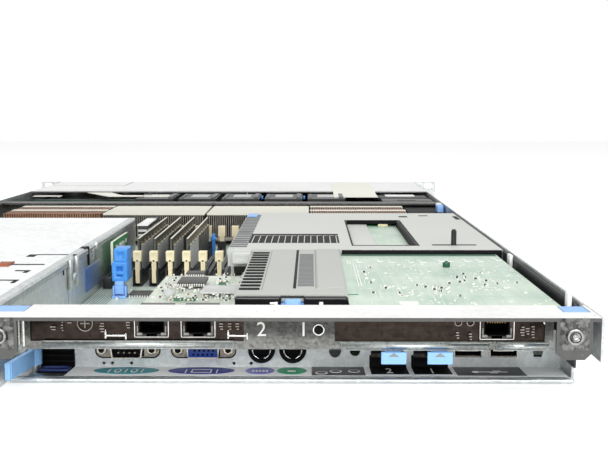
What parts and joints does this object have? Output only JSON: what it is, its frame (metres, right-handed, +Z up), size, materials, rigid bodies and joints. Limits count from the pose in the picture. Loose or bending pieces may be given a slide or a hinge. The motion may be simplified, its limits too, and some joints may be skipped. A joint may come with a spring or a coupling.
{
  "type": "rack server",
  "caption": "Open one-unit rack server with drive bays, memory, heat sinks, fans, riser cards and sliding power supplies in a folded steel tray.",
  "frame": {"origin": "under the middle of the outline, on the surface that it stands on", "axes": "+X to the right seen from the rear, +Y from rear to front, +Z up"},
  "size_m": [0.4826, 0.7694, 0.0505],
  "materials": {
    "zinc": "zinc-plated sheet",
    "dark_sheet": "dark plated sheet",
    "copper": "bare copper fins",
    "lid_metal": "pale plated lid",
    "grey_plastic": "grey moulded plastic",
    "black_plastic": "black moulded plastic",
    "light_blue": "light blue plastic",
    "blue": "blue plastic",
    "ivory": "ivory plastic",
    "board": "green laminate",
    "white_plastic": "white plastic",
    "jack_metal": "shielded jack",
    "chip": "package",
    "cable": "flat cable"
  },
  "bodies": {
    "case": {"chassis_tray": "zinc", "board_standoffs": "zinc", "rack_ears": "zinc", "front_top_cover": "zinc", "front_panel": "black_plastic", "optical_drive": "black_plastic", "drive_backplane": "board", "fan_frames": "black_plastic", "fan_rail": "black_plastic", "motherboard": "board", "processors": "chip", "plate_sinks": "lid_metal", "copper_sinks": "copper", "dimm_sockets": "black_plastic", "memory_modules": "board", "daughter_card": "board", "regulator_block": "white_plastic", "psu_cage": "zinc", "rear_hood": "zinc", "hood_screws": "zinc", "slot_frame": "dark_sheet", "slot_brackets": "dark_sheet", "network_jacks": "jack_metal", "riser_board": "board", "left_card": "board", "right_card": "board", "riser_cover": "grey_plastic", "air_shroud": "grey_plastic", "mezzanine_card": "board", "io_panel": "zinc", "io_ports": "jack_metal", "flat_cables": "cable"},
    "drive_carrier_1": {"drive_carrier_1": "grey_plastic"},
    "drive_handle_1": {"drive_handle_1": "grey_plastic"},
    "drive_carrier_2": {"drive_carrier_2": "grey_plastic"},
    "drive_handle_2": {"drive_handle_2": "grey_plastic"},
    "power_button": {"power_button": "white_plastic"},
    "fan_rotor_1": {"fan_rotor_1": "black_plastic"},
    "fan_rotor_2": {"fan_rotor_2": "black_plastic"},
    "fan_rotor_3": {"fan_rotor_3": "black_plastic"},
    "fan_rotor_4": {"fan_rotor_4": "black_plastic"},
    "fan_rotor_5": {"fan_rotor_5": "black_plastic"},
    "dimm_latch_1": {"dimm_latch_1": "ivory"},
    "dimm_latch_2": {"dimm_latch_2": "ivory"},
    "dimm_latch_3": {"dimm_latch_3": "ivory"},
    "dimm_latch_4": {"dimm_latch_4": "ivory"},
    "dimm_latch_5": {"dimm_latch_5": "ivory"},
    "dimm_latch_6": {"dimm_latch_6": "ivory"},
    "dimm_latches_far": {"dimm_latches_far": "ivory"},
    "card_retainer": {"card_retainer": "blue"},
    "power_supply_1": {"power_supply_1": "zinc"},
    "power_supply_2": {"power_supply_2": "zinc"},
    "card_latch_left": {"card_latch_left": "light_blue"},
    "card_latch_right": {"card_latch_right": "light_blue"},
    "jack_tab_1": {"jack_tab_1": "light_blue"},
    "jack_tab_2": {"jack_tab_2": "light_blue"},
    "riser_button": {"riser_button": "light_blue"},
    "fold_post": {"fold_post": "black_plastic"},
    "id_button": {"id_button": "white_plastic"},
    "release_lever": {"release_lever": "blue"}
  },
  "joints": [
    {"name": "drive_1_slide", "type": "slide", "parent": "case", "child": "drive_carrier_1", "axis": [0, 1, 0], "range_m": [0, 0.13]},
    {"name": "handle_1_swing", "type": "hinge", "parent": "drive_carrier_1", "child": "drive_handle_1", "pos_m": [-0.105, 0.3825, 0.0157], "axis": [0, 0, -1], "range_deg": [0, 60]},
    {"name": "supply_1_slide", "type": "slide", "parent": "case", "child": "power_supply_1", "axis": [0, -1, 0], "range_m": [0, 0.3]},
    {"name": "drive_2_slide", "type": "slide", "parent": "case", "child": "drive_carrier_2", "axis": [0, 1, 0], "range_m": [0, 0.13]},
    {"name": "handle_2_swing", "type": "hinge", "parent": "drive_carrier_2", "child": "drive_handle_2", "pos_m": [0.006, 0.3825, 0.0157], "axis": [0, 0, -1], "range_deg": [0, 60]},
    {"name": "supply_2_slide", "type": "slide", "parent": "case", "child": "power_supply_2", "axis": [0, -1, 0], "range_m": [0, 0.3]},
    {"name": "fan_1_spin", "type": "hinge", "parent": "case", "child": "fan_rotor_1", "pos_m": [-0.07, 0.1829, 0.0202], "axis": [0, 1, 0], "continuous": true},
    {"name": "fan_2_spin", "type": "hinge", "parent": "case", "child": "fan_rotor_2", "pos_m": [-0.0263, 0.1829, 0.0202], "axis": [0, 1, 0], "continuous": true},
    {"name": "fan_3_spin", "type": "hinge", "parent": "case", "child": "fan_rotor_3", "pos_m": [0.0174, 0.1829, 0.0202], "axis": [0, 1, 0], "continuous": true},
    {"name": "fan_4_spin", "type": "hinge", "parent": "case", "child": "fan_rotor_4", "pos_m": [0.0611, 0.1829, 0.0202], "axis": [0, 1, 0], "continuous": true},
    {"name": "fan_5_spin", "type": "hinge", "parent": "case", "child": "fan_rotor_5", "pos_m": [0.1048, 0.1829, 0.0202], "axis": [0, 1, 0], "continuous": true},
    {"name": "latch_1_swing", "type": "hinge", "parent": "case", "child": "dimm_latch_1", "pos_m": [-0.032, -0.1272, 0.0108], "axis": [1, 0, 0], "range_deg": [0, 35]},
    {"name": "latch_2_swing", "type": "hinge", "parent": "case", "child": "dimm_latch_2", "pos_m": [-0.02057, -0.1272, 0.0108], "axis": [1, 0, 0], "range_deg": [0, 35]},
    {"name": "latch_3_swing", "type": "hinge", "parent": "case", "child": "dimm_latch_3", "pos_m": [-0.00914, -0.1272, 0.0108], "axis": [1, 0, 0], "range_deg": [0, 35]},
    {"name": "latch_4_swing", "type": "hinge", "parent": "case", "child": "dimm_latch_4", "pos_m": [0.00229, -0.1272, 0.0108], "axis": [1, 0, 0], "range_deg": [0, 35]},
    {"name": "latch_5_swing", "type": "hinge", "parent": "case", "child": "dimm_latch_5", "pos_m": [0.01372, -0.1272, 0.0108], "axis": [1, 0, 0], "range_deg": [0, 35]},
    {"name": "latch_6_swing", "type": "hinge", "parent": "case", "child": "dimm_latch_6", "pos_m": [0.02515, -0.1272, 0.0108], "axis": [1, 0, 0], "range_deg": [0, 35]},
    {"name": "far_latches_swing", "type": "hinge", "parent": "case", "child": "dimm_latches_far", "pos_m": [-0.032, 0.01415, 0.0108], "axis": [-1, 0, 0], "range_deg": [0, 35]},
    {"name": "retainer_swing", "type": "hinge", "parent": "case", "child": "card_retainer", "pos_m": [-0.0365, -0.1677, 0.0118], "axis": [1, 0, 0], "range_deg": [0, 40]},
    {"name": "card_latch_left_swing", "type": "hinge", "parent": "case", "child": "card_latch_left", "pos_m": [-0.0455, -0.3582, 0.0378], "axis": [-1, 0, 0], "range_deg": [0, 75]},
    {"name": "card_latch_right_swing", "type": "hinge", "parent": "case", "child": "card_latch_right", "pos_m": [0.2064, -0.3582, 0.0378], "axis": [-1, 0, 0], "range_deg": [0, 75]},
    {"name": "jack_tab_1_press", "type": "hinge", "parent": "case", "child": "jack_tab_1", "pos_m": [0.1272, -0.3297, 0.018], "axis": [1, 0, 0], "range_deg": [0, 5], "stiffness_Nm_per_rad": 0.05},
    {"name": "jack_tab_2_press", "type": "hinge", "parent": "case", "child": "jack_tab_2", "pos_m": [0.1485, -0.3297, 0.018], "axis": [1, 0, 0], "range_deg": [0, 5], "stiffness_Nm_per_rad": 0.05},
    {"name": "riser_button_press", "type": "slide", "parent": "case", "child": "riser_button", "axis": [0, 1, 0], "range_m": [0, 0.0015], "stiffness_N_per_m": 300},
    {"name": "id_button_press", "type": "slide", "parent": "case", "child": "id_button", "axis": [0, 1, 0], "range_m": [0, 0.001], "stiffness_N_per_m": 300},
    {"name": "power_button_press", "type": "slide", "parent": "case", "child": "power_button", "axis": [0, -1, 0], "range_m": [0, 0.001], "stiffness_N_per_m": 300},
    {"name": "post_fold", "type": "hinge", "parent": "case", "child": "fold_post", "pos_m": [0.184, -0.1561, 0.0374], "axis": [0, -1, 0], "range_deg": [0, 90]},
    {"name": "lever_swing", "type": "hinge", "parent": "case", "child": "release_lever", "pos_m": [-0.047, -0.3262, 0.009], "axis": [0, 0, 1], "range_deg": [0, 25]}
  ]
}
